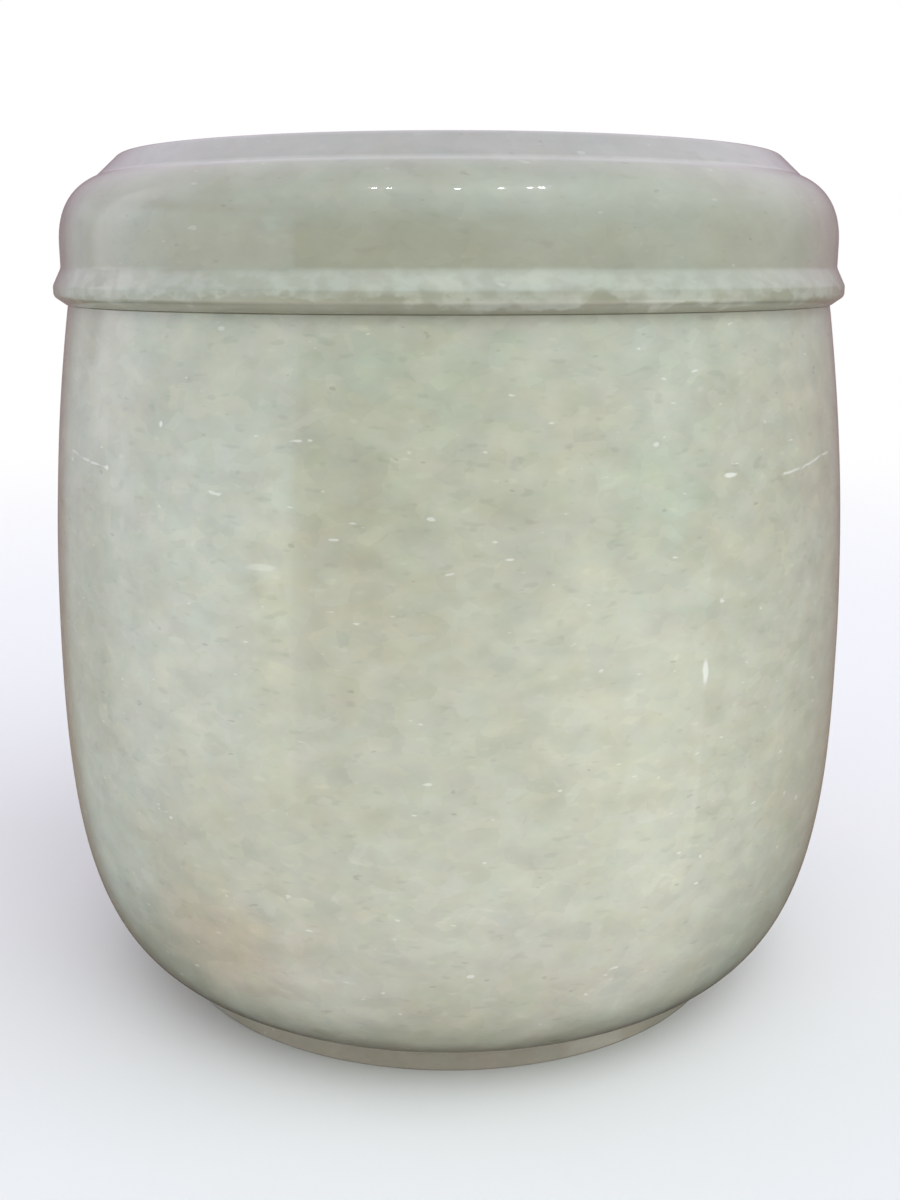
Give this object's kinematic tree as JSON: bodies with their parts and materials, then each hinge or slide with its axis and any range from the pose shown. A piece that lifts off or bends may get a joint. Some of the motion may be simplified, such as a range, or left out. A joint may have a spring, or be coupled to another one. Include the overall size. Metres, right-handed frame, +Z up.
{
  "type": "stone urn with lid",
  "caption": "Round turned urn of polished pale green-grey stone with a low foot and a domed lift-off lid with a bead rim, made to hold ashes.",
  "frame": {"origin": "middle of the flat underside of the foot, on the urn's axis", "axes": "+Z up along the axis that both pieces are turned about, from the foot to the lid"},
  "size_m": [0.2225, 0.2225, 0.2329],
  "materials": {
    "body_stone": "polished",
    "lid_stone": "polished"
  },
  "bodies": {
    "root": {"body": "body_stone", "lid": "lid_stone"}
  },
  "joints": []
}
